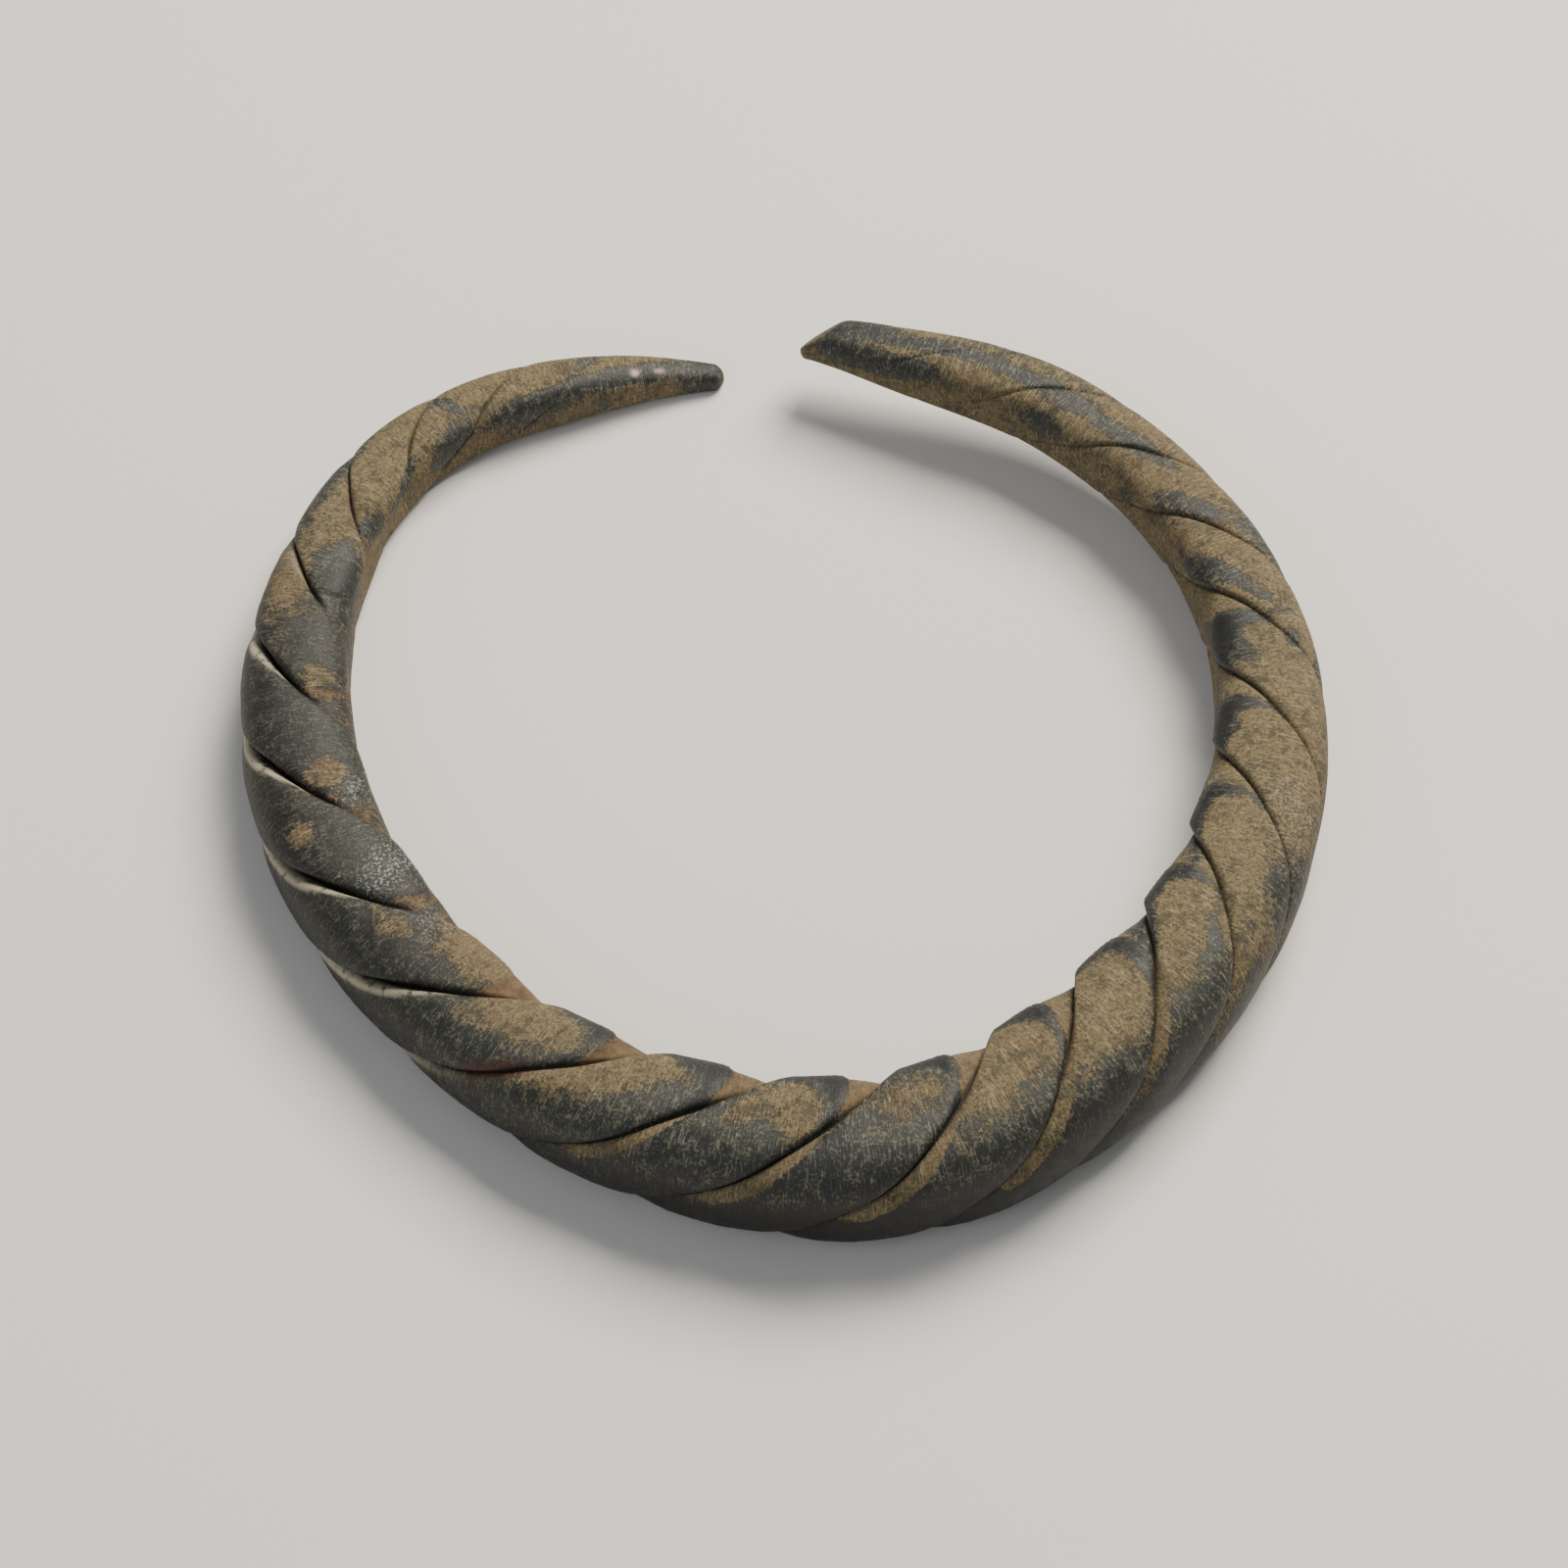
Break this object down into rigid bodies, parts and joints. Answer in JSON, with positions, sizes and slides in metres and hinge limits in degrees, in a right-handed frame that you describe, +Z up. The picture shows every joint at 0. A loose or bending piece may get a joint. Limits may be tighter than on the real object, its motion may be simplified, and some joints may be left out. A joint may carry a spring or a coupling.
{
  "type": "twisted bangle",
  "caption": "Open bronze bangle: a rope-like twisted bar, thickest at the front, tapering to two slim ends that nearly meet.",
  "frame": {"origin": "on the plane the bangle lies on, under the middle of its outline", "axes": "+Z up through the open middle of the ring; -Y is the thick front, +Y the gap between the ends"},
  "size_m": [0.0798, 0.079, 0.0107],
  "materials": {
    "bronze_patina": "dull dark grey-green patina with buff soil dried into the hollows"
  },
  "bodies": {
    "root": {"bangle": "bronze_patina"}
  },
  "joints": []
}
